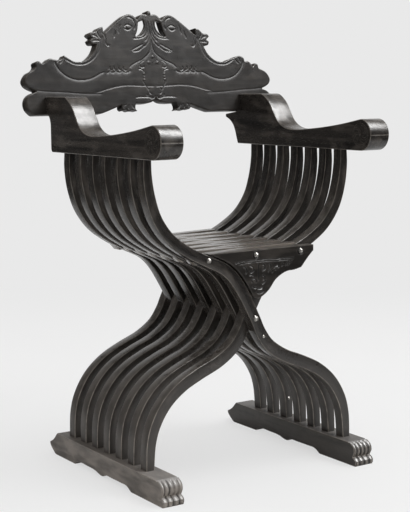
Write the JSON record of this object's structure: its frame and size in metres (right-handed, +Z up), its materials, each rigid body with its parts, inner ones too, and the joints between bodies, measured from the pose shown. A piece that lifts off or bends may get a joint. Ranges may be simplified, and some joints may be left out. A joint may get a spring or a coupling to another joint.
{
  "type": "folding armchair",
  "caption": "Folding armchair of interlaced S-curved walnut staves on a pivot rod, with slatted folding seat, scroll arms, runner feet and a lift-off carved crest board.",
  "frame": {"origin": "middle of the overall box, on the floor", "axes": "+Z up, the chair faces -Y, +X to the right of someone looking at its front"},
  "size_m": [0.625, 0.517, 0.9545],
  "materials": {
    "frame_walnut": "dark waxed walnut, worn along its edges",
    "seat_walnut": "dark walnut, rubbed lighter by use",
    "carved_walnut": "dark waxed walnut with carved relief",
    "rod_iron": "hand-forged iron, rubbed bright on the riveted heads"
  },
  "bodies": {
    "right_frame": {"right_arm_stave_1": "frame_walnut", "right_arm_stave_2": "frame_walnut", "right_arm_stave_3": "frame_walnut", "right_arm_stave_4": "frame_walnut", "right_arm_stave_5": "frame_walnut", "right_arm_stave_6": "frame_walnut", "right_arm_stave_7": "frame_walnut", "right_arm": "frame_walnut", "left_runner": "frame_walnut", "pivot_rod": "rod_iron", "right_seat_rod": "rod_iron"},
    "left_frame": {"left_arm_stave_1": "frame_walnut", "left_arm_stave_2": "frame_walnut", "left_arm_stave_3": "frame_walnut", "left_arm_stave_4": "frame_walnut", "left_arm_stave_5": "frame_walnut", "left_arm_stave_6": "frame_walnut", "left_arm_stave_7": "frame_walnut", "left_arm": "frame_walnut", "right_runner": "frame_walnut", "left_seat_rod": "rod_iron", "stave_nail_1": "rod_iron", "stave_nail_2": "rod_iron"},
    "right_seat": {"seat_apron": "seat_walnut", "right_seat_slat_2": "seat_walnut", "right_seat_slat_3": "seat_walnut", "right_seat_slat_4": "seat_walnut", "right_seat_slat_5": "seat_walnut", "right_seat_slat_6": "seat_walnut", "right_seat_slat_7": "seat_walnut", "seat_centre_pin_1": "rod_iron", "seat_centre_pin_2": "rod_iron", "seat_centre_pin_3": "rod_iron", "seat_centre_pin_4": "rod_iron", "seat_centre_pin_5": "rod_iron", "seat_centre_pin_6": "rod_iron", "seat_centre_pin_7": "rod_iron"},
    "left_seat": {"left_seat_slat_1": "seat_walnut", "left_seat_slat_2": "seat_walnut", "left_seat_slat_3": "seat_walnut", "left_seat_slat_4": "seat_walnut", "left_seat_slat_5": "seat_walnut", "left_seat_slat_6": "seat_walnut", "left_seat_slat_7": "seat_walnut"},
    "crest": {"crest_board": "carved_walnut", "crest_dowel_1": "frame_walnut", "crest_dowel_2": "frame_walnut"}
  },
  "joints": [
    {"name": "frame_fold", "type": "hinge", "parent": "right_frame", "child": "left_frame", "pos_m": [0, -0.1695, 0.328], "axis": [0, 1, 0], "range_deg": [0, 50]},
    {"name": "right_seat_fold", "type": "hinge", "parent": "right_frame", "child": "right_seat", "pos_m": [0.1105, -0.1695, 0.45689], "axis": [0, 1, 0], "range_deg": [0, 91]},
    {"name": "left_seat_fold", "type": "hinge", "parent": "left_frame", "child": "left_seat", "pos_m": [-0.1105, -0.1695, 0.45389], "axis": [0, 1, 0], "range_deg": [-91, 0]},
    {"name": "crest_lift", "type": "slide", "parent": "right_frame", "child": "crest", "axis": [0, 0.1421, 0.9899], "range_m": [0, 0.045]}
  ],
  "couplings": [
    {"joint": "right_seat_fold", "follows": "frame_fold", "ratio": 1.812},
    {"joint": "left_seat_fold", "follows": "frame_fold", "ratio": -1.812}
  ]
}
